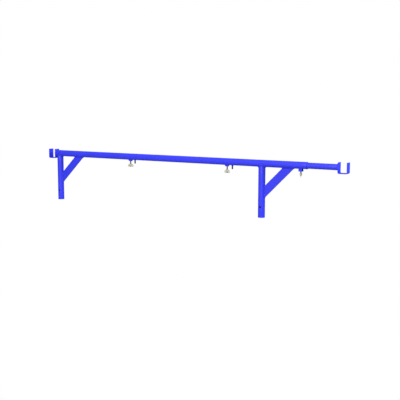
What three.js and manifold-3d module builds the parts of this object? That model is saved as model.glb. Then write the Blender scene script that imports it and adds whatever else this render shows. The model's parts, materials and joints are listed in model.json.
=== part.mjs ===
// A pull-up bar that bridges two rack uprights: a long tube on two braced legs, with an open-topped
// saddle at each end. The saddle at the right sits on a tube that slides out of the bar and is locked
// by a wing screw. Two more wing screws, each with a pin beside it, hold accessories under the bar.
//
// Millimetres. X runs along the bar towards the sliding end, Y goes to the back and Z is up. The origin
// is midway between the two legs, level with their feet.

import * as THREE from "three";
import { mergeVertices } from "three/addons/utils/BufferGeometryUtils.js";
import Module from "manifold-3d";

const wasm = await Module();
wasm.setup();

// Driving dimensions

const GAP = 0.3; // left between pieces that touch or are welded together

const BAR_RADIUS = 20;
const BAR_WALL = 2.5;
const BAR_HEIGHT = 309; // from the feet to the bar's axis
const BAR_LEFT_OVERHANG = 27.5; // from the left leg's axis to the bar's end
const BAR_RIGHT_OVERHANG = 278; // from the right leg's axis to the bar's mouth

const LEG_RADIUS = 20;
const LEG_WALL = 2.5;
const LEG_SPACING = 1506;
const LOCK_HOLE_RADIUS = 5.5; // cross hole that pins a leg in its upright
const LOCK_HOLE_HEIGHT = 61.5;
const FOOT_CHAMFER = 1.5;

const BRACE_REACH = 183; // from the leg's axis to where the brace's centre line meets the bar's axis
const BRACE_DROP = 179.5; // from the bar's axis to where it meets the leg's axis
const BRACE_WIDTH = 48;
const BRACE_THICKNESS = 8;

const SADDLE_GAP = 48.5;
const SADDLE_PLATE = 3.2;
const SADDLE_DEPTH = 40;
const SADDLE_TOP = 27; // above the bar's axis
const SADDLE_BOTTOM = -34;
const SADDLE_BEND = 5; // inside radius of the two bends

const EXTENSION_RADIUS = 16.85;
const EXTENSION_WALL = 2.6;
const EXTENSION_REACH = 180; // from the bar's mouth to the sliding saddle
const EXTENSION_INSIDE = 280; // length held in the bar

const NUT_WIDTH = 19;
const NUT_HEIGHT = 7.5;
const NUT_CORNER = 1.5;

const CAGE_LENGTH = 22;
const CAGE_WIDTH = 20;
const CAGE_WALL = 2.5;
const CAGE_FLOOR = 4;
const CAGE_BOTTOM = -34;

const SCREW_RADIUS = 4;
const SCREW_HOLE_RADIUS = 4.3;
const SCREW_LENGTH = 27; // from the head to the tip
const SCREW_SEAT = 7.5; // held inside the head
const SCREW_CHAMFER = 1;

const HEAD_HEIGHT = 13;
const HEAD_TOP_RADIUS = 7.5;
const HEAD_BOTTOM_RADIUS = 5.5;
const EAR_LOBE_RADIUS = 6.5;
const EAR_LOBE_X = 13;
const EAR_LOBE_Z = -14;
const EAR_THICKNESS = 3.2;
const EAR_ROOT_TOP = -1.5; // where an ear leaves the head, below the head's top face
const EAR_ROOT_BOTTOM = -12;
const EAR_ROOT_INSET = 1; // that an ear starts inside the head's side
const EAR_SHOULDER = { x: 15, z: -2 }; // pulls the ear's upper edge outwards
const EAR_WAIST = { x: 6.5, z: -14 }; // pulls its lower edge in between the head and the lobe
const EAR_LOBE_START = 32; // degrees round the lobe, from the ear's upper edge
const EAR_LOBE_END = -145; // to its lower edge

const PIN_RADIUS = 4.4;
const PIN_BOTTOM = -42;
const PIN_ROUNDING = 1.5;

// Places along X, measured from the left leg's axis
const ACCESSORIES = [
  { name: "accessory_1", screwX: 583.5, pinX: 618, headZ: -43.5, turn: 0.08 },
  { name: "accessory_2", screwX: 1280, pinX: 1315, headZ: -45.8, turn: -0.15 },
];
const LOCK_SCREW_X = 1745;
const LOCK_SCREW_TURN = -1.15; // radians that the wings stand away from the bar's direction

const LEG_WELD = 3.4;
const LEG_WELD_DROP = 0.8; // keeps the bead's centre line off the bar, so that its sides stay smooth
const LEG_WELD_POINTS = 28;
const BRACE_WELD = 2.6;
const SADDLE_WELD = 3;
const SMALL_WELD = 2.2;
const WELD_OVERHANG = 21; // half width that a weld keeps to where a tube is as wide as its plate
const CAGE_WELD_OVERRUN = 1; // past each end of the channel
const CAGE_WELD_STEPS = 8;

const ROUND_SEGMENTS = 48;
const SMALL_SEGMENTS = 24;
const BEND_SEGMENTS = 6; // in each bend of a saddle
const CORNER_SEGMENTS = 3; // in each rounded corner of a nut
const EAR_SEGMENTS = 7; // in each curve of an ear
const WELD_SIDES = 4; // in each half of a bead's section
const MERGE_DISTANCE = 1e-4;

// Worked out from the driving dimensions

const LEFT_LEG_X = -LEG_SPACING / 2;
const RIGHT_LEG_X = LEG_SPACING / 2;
const BAR_START = LEFT_LEG_X - BAR_LEFT_OVERHANG;
const BAR_END = RIGHT_LEG_X + BAR_RIGHT_OVERHANG;
const SADDLE_HALF = SADDLE_GAP / 2 + SADDLE_PLATE;
const CUT_LENGTH = 100; // longer than any piece that a round cut goes through

const bluePaint = new THREE.MeshStandardMaterial({ color: 0x3a44f0, roughness: 0.38, metalness: 0 });
const weldPaint = new THREE.MeshStandardMaterial({ color: 0x333cdc, roughness: 0.45, metalness: 0 });
const darkSteel = new THREE.MeshStandardMaterial({ color: 0x2a2e52, roughness: 0.5, metalness: 0.6 });
const zincThread = new THREE.MeshStandardMaterial({ color: 0x77757a, roughness: 0.45, metalness: 0.9 });
const zincHead = new THREE.MeshStandardMaterial({ color: 0xc9c4b4, roughness: 0.4, metalness: 0.9 });

// Geometry helpers

// The closed solid of a three.js geometry.
function solid(geometry) {
  geometry.deleteAttribute("normal");
  geometry.deleteAttribute("uv");
  const merged = mergeVertices(geometry, MERGE_DISTANCE);
  const corners = merged.index.array;
  const kept = [];
  for (let i = 0; i < corners.length; i += 3) {
    const [a, b, c] = corners.slice(i, i + 3);
    if (a !== b && b !== c && c !== a) kept.push(a, b, c);
  }
  const triVerts = new Uint32Array(kept);
  const vertProperties = merged.attributes.position.array;
  return new wasm.Manifold(new wasm.Mesh({ numProp: 3, vertProperties, triVerts }));
}

// A named mesh of a solid, added to a group.
function addMesh(group, name, body, material) {
  const { vertProperties, triVerts } = body.getMesh();
  const geometry = new THREE.BufferGeometry();
  geometry.setAttribute("position", new THREE.BufferAttribute(new Float32Array(vertProperties), 3));
  geometry.setIndex(new THREE.BufferAttribute(new Uint32Array(triVerts), 1));
  geometry.computeVertexNormals();
  const mesh = new THREE.Mesh(geometry, material);
  mesh.name = name;
  group.add(mesh);
  return mesh;
}

// A shape of revolution about Z, from [radius, height] pairs that run round its section anticlockwise.
function turned(profile, segments = SMALL_SEGMENTS) {
  const points = profile.map(([radius, height]) => new THREE.Vector2(radius, height));
  return new THREE.LatheGeometry(points, segments).rotateX(Math.PI / 2);
}

function rod(radius, bottom, top, segments = SMALL_SEGMENTS) {
  return turned([[0, bottom], [radius, bottom], [radius, top], [0, top]], segments);
}

function ring(outer, inner, bottom, top, chamfer = 0) {
  return turned(
    [
      [inner, bottom],
      [outer - chamfer, bottom],
      [outer, bottom + chamfer],
      [outer, top],
      [inner, top],
      [inner, bottom],
    ],
    ROUND_SEGMENTS,
  );
}

const alongX = (geometry) => geometry.rotateY(Math.PI / 2);
const alongY = (geometry) => geometry.rotateX(-Math.PI / 2);

// The full round bar, grown by a margin, with its axis at a height.
function barCut(margin, axisHeight = 0) {
  const reach = 2 * (BRACE_REACH + CUT_LENGTH);
  return solid(alongX(rod(BAR_RADIUS + margin, -reach, reach, ROUND_SEGMENTS)).translate(0, 0, axisHeight));
}

function legCut(margin) {
  return solid(rod(LEG_RADIUS + margin, 0, BAR_HEIGHT + CUT_LENGTH, ROUND_SEGMENTS));
}

function roundedRectangle(width, height, radius) {
  const x = width / 2;
  const y = height / 2;
  const shape = new THREE.Shape();
  shape.moveTo(x, -y + radius);
  shape.lineTo(x, y - radius);
  shape.absarc(x - radius, y - radius, radius, 0, Math.PI / 2);
  shape.lineTo(-x + radius, y);
  shape.absarc(-x + radius, y - radius, radius, Math.PI / 2, Math.PI);
  shape.lineTo(-x, -y + radius);
  shape.absarc(-x + radius, -y + radius, radius, Math.PI, 1.5 * Math.PI);
  shape.lineTo(x - radius, -y);
  shape.absarc(x - radius, -y + radius, radius, 1.5 * Math.PI, 2 * Math.PI);
  return shape;
}

// A round weld bead along the points of an open path.
function bead(points, radius) {
  const section = new THREE.Shape();
  section.absarc(0, 0, radius, 0, 2 * Math.PI);
  const extrudePath = new THREE.CatmullRomCurve3(points);
  const steps = points.length - 1;
  const settings = { steps, extrudePath, curveSegments: WELD_SIDES, bevelEnabled: false };
  return solid(new THREE.ExtrudeGeometry(section, settings));
}

// A weld bead round a closed loop of points, joined from two halves that overlap.
function beadLoop(points, radius) {
  const half = Math.floor(points.length / 2);
  const at = (i) => points[i % points.length];
  const stretch = (from, to) => Array.from({ length: to - from + 1 }, (_, k) => at(from + k));
  return bead(stretch(0, half + 1), radius).add(bead(stretch(half, points.length + 1), radius));
}

// The height of the bar's underside below its axis, at a distance from its middle plane.
const underBar = (y, margin = 0) => -Math.sqrt((BAR_RADIUS + margin) ** 2 - y ** 2);

// The clearance for a screw's stem, through everything below the bar's axis.
const screwHole = (x = 0) => solid(rod(SCREW_HOLE_RADIUS, -CUT_LENGTH, 0).translate(x, 0, 0));

// Bar

function bar() {
  const length = BAR_END - BAR_START;
  const tube = solid(alongX(ring(BAR_RADIUS, BAR_RADIUS - BAR_WALL, 0, length)).translate(BAR_START, 0, 0));
  const holes = [...ACCESSORIES.map(({ screwX }) => screwX), LOCK_SCREW_X];
  return holes.reduce((body, x) => body.subtract(screwHole(LEFT_LEG_X + x)), tube);
}

// Legs and braces, each in a group whose origin is the leg's foot

function leg() {
  const tube = solid(ring(LEG_RADIUS, LEG_RADIUS - LEG_WALL, 0, BAR_HEIGHT, FOOT_CHAMFER));
  const crossHole = alongY(rod(LOCK_HOLE_RADIUS, -CUT_LENGTH, CUT_LENGTH)).translate(0, 0, LOCK_HOLE_HEIGHT);
  return tube.subtract(barCut(GAP, BAR_HEIGHT)).subtract(solid(crossHole));
}

function legWeld() {
  const outline = new THREE.Path();
  outline.absarc(0, 0, LEG_RADIUS, 0, 2 * Math.PI);
  const points = outline.getSpacedPoints(LEG_WELD_POINTS).slice(0, LEG_WELD_POINTS).map(({ x, y }) => {
    return new THREE.Vector3(x, y, BAR_HEIGHT + underBar(y, LEG_WELD_DROP));
  });
  return beadLoop(points, LEG_WELD).subtract(legCut(GAP)).subtract(barCut(GAP, BAR_HEIGHT));
}

// A slanted flat bar, whose centre line runs from the leg's axis to the bar's axis.
function braceBlank(margin) {
  const length = Math.hypot(BRACE_REACH, BRACE_DROP);
  const slope = Math.atan2(BRACE_DROP, BRACE_REACH);
  const block = new THREE.BoxGeometry(length, BRACE_THICKNESS + 2 * margin, BRACE_WIDTH + 2 * margin);
  return solid(block.rotateY(-slope).translate(BRACE_REACH / 2, 0, BAR_HEIGHT - BRACE_DROP / 2));
}

function brace() {
  return braceBlank(0).subtract(legCut(GAP)).subtract(barCut(GAP, BAR_HEIGHT));
}

// The collars of weld round the brace's two ends, on the leg and on the bar.
function braceWelds() {
  const collar = braceBlank(BRACE_WELD).subtract(braceBlank(GAP));
  const nearLeg = legCut(BRACE_WELD).subtract(legCut(GAP));
  const nearBar = barCut(BRACE_WELD, BAR_HEIGHT).subtract(barCut(GAP, BAR_HEIGHT));
  return [nearLeg, nearBar].map((shell) => {
    return collar.intersect(shell).subtract(legCut(GAP)).subtract(barCut(GAP, BAR_HEIGHT));
  });
}

function legAssembly(side, x) {
  const group = new THREE.Group();
  group.position.x = x;
  addMesh(group, `${side}_leg`, leg(), bluePaint);
  addMesh(group, `${side}_leg_weld`, legWeld(), weldPaint);
  addMesh(group, `${side}_brace`, brace(), bluePaint);
  const [foot, head] = braceWelds();
  addMesh(group, `${side}_brace_lower_weld`, foot, weldPaint);
  addMesh(group, `${side}_brace_upper_weld`, head, weldPaint);
  return group;
}

// Saddles

// A plate bent into a U that opens upwards. X is 0 midway between its walls.
function saddle() {
  const outside = SADDLE_BEND + SADDLE_PLATE;
  const inner = SADDLE_HALF - SADDLE_PLATE;
  const bendX = SADDLE_HALF - outside;
  const bendZ = SADDLE_BOTTOM + outside;
  const right = 2 * Math.PI;
  const down = 1.5 * Math.PI;
  const left = Math.PI;
  const outline = new THREE.Shape();
  outline.moveTo(-SADDLE_HALF, SADDLE_TOP);
  outline.absarc(-bendX, bendZ, outside, left, down);
  outline.absarc(bendX, bendZ, outside, down, right);
  outline.lineTo(SADDLE_HALF, SADDLE_TOP);
  outline.lineTo(inner, SADDLE_TOP);
  outline.absarc(bendX, bendZ, SADDLE_BEND, right, down, true);
  outline.absarc(-bendX, bendZ, SADDLE_BEND, down, left, true);
  outline.lineTo(-inner, SADDLE_TOP);
  outline.closePath();
  const settings = { depth: SADDLE_DEPTH, curveSegments: BEND_SEGMENTS, bevelEnabled: false };
  const strip = new THREE.ExtrudeGeometry(outline, settings);
  return solid(strip.rotateX(Math.PI / 2).translate(0, SADDLE_DEPTH / 2, 0));
}

// The fillet round a tube's end on a saddle's wall. The wall's face is at X = 0 and the tube runs from
// it along X, in the direction given.
function saddleWeld(radius, direction) {
  const inner = radius + GAP;
  const outer = inner + SADDLE_WELD;
  const top = GAP + SADDLE_WELD;
  const fillet = turned([[inner, GAP], [outer, GAP], [inner, top], [inner, GAP]], ROUND_SEGMENTS);
  const placed = alongX(fillet).rotateZ(direction > 0 ? 0 : Math.PI);
  const room = new THREE.BoxGeometry(CUT_LENGTH, 2 * WELD_OVERHANG, CUT_LENGTH);
  return solid(placed).intersect(solid(room));
}

// Sliding extension, in a frame whose origin is the bar's mouth on its axis

function extensionTube() {
  const tube = ring(EXTENSION_RADIUS, EXTENSION_RADIUS - EXTENSION_WALL, -EXTENSION_INSIDE, EXTENSION_REACH - GAP);
  return solid(alongX(tube));
}

// Screws, nuts and pins, in frames whose Z is measured from the bar's axis

// A square block with rounded corners, from a bottom to a top.
function squareBlock(width, bottom, top) {
  const settings = { depth: top - bottom, curveSegments: CORNER_SEGMENTS, bevelEnabled: false };
  const outline = roundedRectangle(width, width, NUT_CORNER);
  return solid(new THREE.ExtrudeGeometry(outline, settings).translate(0, 0, bottom));
}

function nut() {
  const top = -BAR_RADIUS - GAP;
  return squareBlock(NUT_WIDTH, top - NUT_HEIGHT, top).subtract(screwHole());
}

function nutWeld() {
  const collar = squareBlock(NUT_WIDTH + 2 * SMALL_WELD, -BAR_RADIUS - SMALL_WELD, -BAR_RADIUS / 2);
  return collar.subtract(squareBlock(NUT_WIDTH + 2 * GAP, -CUT_LENGTH, 0)).subtract(barCut(GAP));
}

// A short open-ended channel under the bar, whose floor takes the lock screw.
function lockCage() {
  const tall = new THREE.BoxGeometry(CAGE_LENGTH, CAGE_WIDTH, -CAGE_BOTTOM);
  const block = solid(tall.translate(0, 0, CAGE_BOTTOM / 2));
  const slot = new THREE.BoxGeometry(2 * CAGE_LENGTH, CAGE_WIDTH - 2 * CAGE_WALL, -CAGE_BOTTOM);
  const channel = block.subtract(solid(slot.translate(0, 0, CAGE_BOTTOM / 2 + CAGE_FLOOR)));
  return channel.subtract(barCut(GAP)).subtract(screwHole());
}

// The bead along one of the channel's two walls.
function cageWeld(side) {
  const y = side * (CAGE_WIDTH / 2 + GAP);
  const length = CAGE_LENGTH + 2 * CAGE_WELD_OVERRUN;
  const points = Array.from({ length: CAGE_WELD_STEPS + 1 }, (_, i) => {
    return new THREE.Vector3((i / CAGE_WELD_STEPS - 0.5) * length, y, underBar(y));
  });
  const inside = solid(new THREE.BoxGeometry(CUT_LENGTH, 2 * Math.abs(y), CUT_LENGTH));
  return bead(points, SMALL_WELD).subtract(barCut(GAP)).subtract(inside);
}

// The threaded stem of a wing screw. Z is 0 where it leaves the head.
function screwStem() {
  const shoulder = SCREW_LENGTH - SCREW_CHAMFER;
  const tip = SCREW_RADIUS - SCREW_CHAMFER;
  const profile = [[0, -SCREW_SEAT], [SCREW_RADIUS, -SCREW_SEAT], [SCREW_RADIUS, shoulder], [tip, SCREW_LENGTH]];
  return solid(turned([...profile, [0, SCREW_LENGTH]]));
}

function ear() {
  const degrees = Math.PI / 180;
  const outline = new THREE.Shape();
  const start = EAR_LOBE_START * degrees;
  const end = EAR_LOBE_END * degrees;
  const lobeX = EAR_LOBE_X + EAR_LOBE_RADIUS * Math.cos(start);
  const lobeZ = EAR_LOBE_Z + EAR_LOBE_RADIUS * Math.sin(start);
  outline.moveTo(0, EAR_ROOT_TOP);
  outline.lineTo(HEAD_TOP_RADIUS - EAR_ROOT_INSET, EAR_ROOT_TOP);
  outline.quadraticCurveTo(EAR_SHOULDER.x, EAR_SHOULDER.z, lobeX, lobeZ);
  outline.absarc(EAR_LOBE_X, EAR_LOBE_Z, EAR_LOBE_RADIUS, start, end, true);
  outline.quadraticCurveTo(EAR_WAIST.x, EAR_WAIST.z, HEAD_BOTTOM_RADIUS - EAR_ROOT_INSET, EAR_ROOT_BOTTOM);
  outline.lineTo(0, EAR_ROOT_BOTTOM);
  outline.closePath();
  const settings = { depth: EAR_THICKNESS, curveSegments: EAR_SEGMENTS, bevelEnabled: false };
  return new THREE.ExtrudeGeometry(outline, settings).rotateX(Math.PI / 2).translate(0, EAR_THICKNESS / 2, 0);
}

function wingHead() {
  const hub = [[0, -HEAD_HEIGHT], [HEAD_BOTTOM_RADIUS, -HEAD_HEIGHT], [HEAD_TOP_RADIUS, 0], [0, 0]];
  const ears = solid(ear()).add(solid(ear().rotateZ(Math.PI)));
  const seat = solid(rod(SCREW_HOLE_RADIUS, -SCREW_SEAT - GAP, CUT_LENGTH));
  return solid(turned(hub)).add(ears).subtract(seat);
}

function wingScrew(name, x, headZ, turn) {
  const group = new THREE.Group();
  group.position.set(x, 0, headZ);
  addMesh(group, `${name}_stem`, screwStem(), zincThread);
  const head = addMesh(group, `${name}_wings`, wingHead(), zincHead);
  head.rotation.z = turn;
  return group;
}

function pin() {
  const round = PIN_BOTTOM + PIN_ROUNDING;
  const profile = [[0, PIN_BOTTOM], [PIN_RADIUS - PIN_ROUNDING, PIN_BOTTOM], [PIN_RADIUS, round]];
  return solid(turned([...profile, [PIN_RADIUS, 0], [0, 0]])).subtract(barCut(GAP));
}

function pinWeld() {
  const inner = PIN_RADIUS + GAP;
  const outer = inner + SMALL_WELD;
  const tip = -BAR_RADIUS - SMALL_WELD;
  const top = -BAR_RADIUS / 2;
  const fillet = turned([[inner, tip], [outer, -BAR_RADIUS], [outer, top], [inner, top], [inner, tip]]);
  return solid(fillet).subtract(barCut(GAP));
}

function accessory({ name, screwX, pinX, headZ, turn }) {
  const group = new THREE.Group();
  group.position.set(LEFT_LEG_X, 0, BAR_HEIGHT);
  addMesh(group, `${name}_nut`, nut(), bluePaint).position.x = screwX;
  addMesh(group, `${name}_nut_weld`, nutWeld(), weldPaint).position.x = screwX;
  addMesh(group, `${name}_pin`, pin(), darkSteel).position.x = pinX;
  addMesh(group, `${name}_pin_weld`, pinWeld(), weldPaint).position.x = pinX;
  group.add(wingScrew(`${name}_screw`, screwX, headZ, turn));
  return group;
}

function extensionLock() {
  const group = new THREE.Group();
  group.position.set(LEFT_LEG_X + LOCK_SCREW_X, 0, BAR_HEIGHT);
  addMesh(group, "lock_cage", lockCage(), bluePaint);
  addMesh(group, "lock_cage_front_weld", cageWeld(-1), weldPaint);
  addMesh(group, "lock_cage_back_weld", cageWeld(1), weldPaint);
  const headZ = -EXTENSION_RADIUS - GAP - SCREW_LENGTH;
  group.add(wingScrew("lock_screw", 0, headZ, LOCK_SCREW_TURN));
  return group;
}

// Assembly

const pullUpBar = new THREE.Group();
addMesh(pullUpBar, "main_bar", bar(), bluePaint).position.z = BAR_HEIGHT;
pullUpBar.add(legAssembly("left", LEFT_LEG_X));
pullUpBar.add(legAssembly("right", RIGHT_LEG_X));

const leftEnd = new THREE.Group();
leftEnd.position.set(BAR_START, 0, BAR_HEIGHT);
addMesh(leftEnd, "left_saddle", saddle(), bluePaint).position.x = -SADDLE_HALF - GAP;
addMesh(leftEnd, "left_saddle_weld", saddleWeld(BAR_RADIUS, 1), weldPaint).position.x = -GAP;
pullUpBar.add(leftEnd);

const extension = new THREE.Group();
extension.position.set(BAR_END, 0, BAR_HEIGHT);
addMesh(extension, "extension_tube", extensionTube(), bluePaint);
addMesh(extension, "right_saddle", saddle(), bluePaint).position.x = EXTENSION_REACH + SADDLE_HALF;
addMesh(extension, "right_saddle_weld", saddleWeld(EXTENSION_RADIUS, -1), weldPaint).position.x = EXTENSION_REACH;
pullUpBar.add(extension);

ACCESSORIES.forEach((place) => pullUpBar.add(accessory(place)));
pullUpBar.add(extensionLock());

export default pullUpBar;
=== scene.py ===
import json
import math

import bmesh
import bpy
import numpy as np
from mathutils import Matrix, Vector

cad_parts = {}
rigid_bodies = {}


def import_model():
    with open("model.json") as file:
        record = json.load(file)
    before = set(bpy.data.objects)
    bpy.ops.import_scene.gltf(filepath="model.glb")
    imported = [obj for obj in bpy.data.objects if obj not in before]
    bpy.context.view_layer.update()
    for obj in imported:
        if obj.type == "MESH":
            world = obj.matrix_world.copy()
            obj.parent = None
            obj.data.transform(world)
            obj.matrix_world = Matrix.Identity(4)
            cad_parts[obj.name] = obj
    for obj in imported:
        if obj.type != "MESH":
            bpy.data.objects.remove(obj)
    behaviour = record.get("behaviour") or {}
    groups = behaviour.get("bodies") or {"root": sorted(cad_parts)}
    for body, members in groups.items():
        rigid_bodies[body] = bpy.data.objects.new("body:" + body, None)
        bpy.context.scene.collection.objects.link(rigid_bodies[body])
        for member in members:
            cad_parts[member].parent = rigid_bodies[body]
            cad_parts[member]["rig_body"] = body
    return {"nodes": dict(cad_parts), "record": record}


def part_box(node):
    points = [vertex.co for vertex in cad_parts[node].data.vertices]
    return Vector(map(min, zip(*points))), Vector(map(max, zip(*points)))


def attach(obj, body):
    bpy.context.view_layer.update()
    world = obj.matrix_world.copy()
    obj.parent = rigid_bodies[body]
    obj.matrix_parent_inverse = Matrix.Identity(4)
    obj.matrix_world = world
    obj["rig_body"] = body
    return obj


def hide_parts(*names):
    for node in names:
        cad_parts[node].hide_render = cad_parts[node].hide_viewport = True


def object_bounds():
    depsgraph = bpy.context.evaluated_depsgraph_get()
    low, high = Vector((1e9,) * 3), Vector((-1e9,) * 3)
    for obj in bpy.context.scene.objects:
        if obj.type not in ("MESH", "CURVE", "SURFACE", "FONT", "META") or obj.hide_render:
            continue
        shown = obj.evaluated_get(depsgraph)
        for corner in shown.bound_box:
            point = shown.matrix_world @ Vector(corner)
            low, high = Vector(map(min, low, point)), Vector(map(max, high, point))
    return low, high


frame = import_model()
cad_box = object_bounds()

# A pull-up bar on two braced legs, finished around its CAD frame. Metres: X runs along the bar, Y to the
# back and Z up. Every CAD node is replaced by a finer mesh of the same piece, whose place and size come
# from the node's box.

X, Y, Z = np.eye(3)
FULL_TURN = 2 * math.pi

GAP = 0.0003  # that the CAD leaves between pieces which touch

# Tubes
BAR_WALL = 0.0025
LEG_WALL = 0.0025
EXTENSION_WALL = 0.0026
TUBE_COLUMNS = 96
TUBE_STEP = 0.05  # between the rows of points along a tube
BAR_RIM = 0.0005  # rounding of a sawn end's edges
FOOT_RIM = 0.001
LEG_HOLE_HEIGHT = 0.0615
LEG_HOLE_RADIUS = 0.0055
LEG_COPE_START = 0.23  # height above which a leg's rows bend towards its coped end
SCREW_HOLE_RADIUS = 0.0043
HOLE_CHAMFER = 0.0004
HOLE_CELLS = 10  # on each side of the square of wall that a hole sits in
LEG_HOLE_CELLS = 14
HOLE_MARGIN = 1.6  # half of that square's length, in hole radii
STATION_DIGITS = 9  # decimals of a metre in which two rows along a tube differ

# Flat bars and bent plates
BRACE_THICKNESS = 0.008
BRACE_WIDTH = 0.048
BRACE_CORNER = 0.0009
BRACE_SIDE_STEPS = 10
BRACE_CORNER_STEPS = 5
BRACE_ROWS = 12
SADDLE_PLATE = 0.0032
SADDLE_BEND = 0.005  # inside radius
SADDLE_EDGE = 0.0006
SADDLE_CORNER = 0.0025
CAGE_WALL = 0.0025
CAGE_FLOOR = 0.004
CAGE_BEND_OUTSIDE = 0.003
CAGE_BEND_INSIDE = 0.0008
CAGE_EDGE = 0.0005
BEND_STEPS = 10
SECTION_ROUNDING = 0.98  # of a plate's edge rounding, that its section's corners have along the plate
SECTION_SHRINK = 0.95  # of the inset at a rounded end, that those corners lose
HEIGHT_DIGITS = 7  # decimals of a metre in which two rows down a plate's wall differ

# Nuts, pins and screws
NUT_CORNER = 0.0015
NUT_FACE_RADIUS = 0.0082  # of the round face that the nut's corners are chamfered to
NUT_CHAMFER_SLOPE = math.tan(math.radians(30))
PIN_ROUNDING = 0.0014
SMALL_COLUMNS = 40
FINE_QUARTER = 6  # steps round a quarter turn where a rounding is wide
THREAD_PITCH = 0.00125
THREAD_DEPTH = 0.6134 * THREAD_PITCH
THREAD_PROFILE = ((0, 1), (0.125, 1), (0.4375, 0), (0.6875, 0))  # place in a pitch, and height there
STEM_HOLE_CLEARANCE = 0.00006
SCREW_LENGTH = 0.027  # from the head to the tip
TIP_DEPTH = 1.35  # of the thread's depth, that the tip's chamfer goes down to

# Wing heads. Pairs are places seen from the side, from the middle of the head's top face.
HEAD_HEIGHT = 0.013
HEAD_TOP_RADIUS = 0.0075
HEAD_BOTTOM_RADIUS = 0.0055
EAR_LOBE = (0.013, -0.014)
EAR_LOBE_RADIUS = 0.0065
EAR_LOBE_START = 32  # degrees
EAR_LOBE_END = -145
EAR_LOBE_STEPS = 18
EAR_ROOT_TOP = -0.0012
EAR_ROOT_BOTTOM = -0.012
EAR_TOP_OVERLAP = 0.0012  # that an ear's curves start inside the hub
EAR_BOTTOM_OVERLAP = 0.001
EAR_SHOULDER = (0.015, -0.002)
EAR_WAIST = (0.0065, -0.014)
EAR_THICKNESS = 0.0032
EAR_ROOT_THICKNESS = 0.0046
HEAD_VOXEL = 0.00042
BOW_STEPS = 10
STEM_SHADE_TAILS = {"accessory": 0.0065, "lock": 0.001}  # how far the stem shows below the head; that tail is near-black, as painted shade under the head
TAIL_ROUNDING = 0.001

# Welds: the leg of each fillet
LEG_WELD = 0.0046
BRACE_WELD = 0.0042
SADDLE_WELD = 0.0042
RIGHT_SADDLE_WELD = 0.0036
NUT_WELD = 0.0034
PIN_WELD = 0.0026
CAGE_WELD = 0.0032
# Welds: their lines
LEG_WELD_DROP = 0.0012  # below the bar's surface
LEG_WELD_POINTS = 360
SADDLE_WELD_POINTS = 240
CAGE_WELD_POINTS = 60
# Welds: the bead's section, in legs. The width is full where the two surfaces open out flat, and the
# height and lift are full where they close to a crack.
BEAD_HALF_WIDTH = 1.1
BEAD_HALF_HEIGHT = 0.58
BEAD_LEAST_HALF_HEIGHT = 0.24
BEAD_LIFT = 0.62  # of the bead's middle from its line
OPEN_SINES = (0.15, 0.98)  # limits of the sine of half the angle that the surfaces open to
BEAD_WANDER = 0.07  # of its width, in slow waves along it
BEAD_END = 0.02  # of its width and height, left at the ends of a bead that isn't closed
RIPPLE_PITCH = 0.0023
LEAST_RIPPLES = 3
RIPPLE_ROWS = 7
RIPPLE_HEIGHT = 0.16  # of the bead's height
RIPPLE_LEVEL = 0.6  # of a ripple's height, that lies below the bead's plain surface
RIPPLE_SPREAD = 0.4  # of a ripple's height, that it adds to the bead's width
RIPPLE_CRESCENT = 0.5  # of a pitch that a ripple's middle runs ahead of its ends

MERGE_DISTANCE = 1e-7
SHARP_ANGLE = math.radians(33)

# Camera
CAMERA_PLACE = (2.6909, -3.8190, 0.6674)
CAMERA_HEADING = 31.605  # degrees that the view turns left of the bar's front
CAMERA_PITCH = 7.579  # degrees that the view points down
CAMERA_ROLL = -0.11
CAMERA_LENS = 68.2  # mm, on a 36 mm sensor


# Mesh building


class Axis:
    """A line for round shapes: s runs along it, and turn goes round it from the zero direction."""

    def __init__(self, origin, along, zero):
        self.origin = np.asarray(origin, float)
        self.along = along
        self.zero = zero
        self.side = np.cross(along, zero)

    def at(self, s, radius, turn):
        s, radius, turn = np.broadcast_arrays(np.asarray(s, float), radius, turn)
        across = (radius * np.cos(turn))[..., None] * self.zero
        sideways = (radius * np.sin(turn))[..., None] * self.side
        return self.origin + s[..., None] * self.along + across + sideways


class Surface:
    """The points and faces of one piece. Grids that meet share their edge points once it is made."""

    def __init__(self):
        self.points = []
        self.faces = []
        self.count = 0

    def add_points(self, points):
        points = np.asarray(points, float).reshape(-1, 3)
        first = self.count
        self.points.append(points)
        self.count += len(points)
        return first

    def grid(self, rows, closed=True, looped=False, skip=frozenset()):
        """Quads between rows of points: closed joins each row's ends, looped the last and first rows."""
        rows = np.asarray(rows, float)
        count, width = rows.shape[:2]
        first = self.add_points(rows)
        for i in range(count if looped else count - 1):
            below = first + i * width
            above = first + (i + 1) % count * width
            for j in range(width if closed else width - 1):
                if (i, j) not in skip:
                    k = (j + 1) % width
                    self.faces.append((below + j, below + k, above + k, above + j))

    def cap(self, row):
        """One face across a closed row of points."""
        first = self.add_points(row)
        self.faces.append(tuple(range(first, first + len(row))))

    def mesh(self, name):
        mesh = bpy.data.meshes.new(name)
        mesh.from_pydata(np.concatenate(self.points).tolist(), [], self.faces)
        work = bmesh.new()
        work.from_mesh(mesh)
        bmesh.ops.remove_doubles(work, verts=work.verts, dist=MERGE_DISTANCE)
        bmesh.ops.recalc_face_normals(work, faces=work.faces)
        work.to_mesh(mesh)
        work.free()
        return mesh


def shade(mesh):
    mesh.shade_smooth()
    mesh.set_sharp_from_angle(angle=SHARP_ANGLE)


def new_piece(name, mesh):
    piece = bpy.data.objects.new(name, mesh)
    bpy.context.scene.collection.objects.link(piece)
    return piece


def with_modifier(piece, kind, **settings):
    """Gives a piece the mesh that a modifier makes of it."""
    modifier = piece.modifiers.new(kind.lower(), kind)
    for key, value in settings.items():
        setattr(modifier, key, value)
    bpy.context.view_layer.update()
    changed = piece.evaluated_get(bpy.context.evaluated_depsgraph_get())
    mesh = bpy.data.meshes.new_from_object(changed)
    piece.modifiers.clear()
    piece.data = mesh


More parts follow.
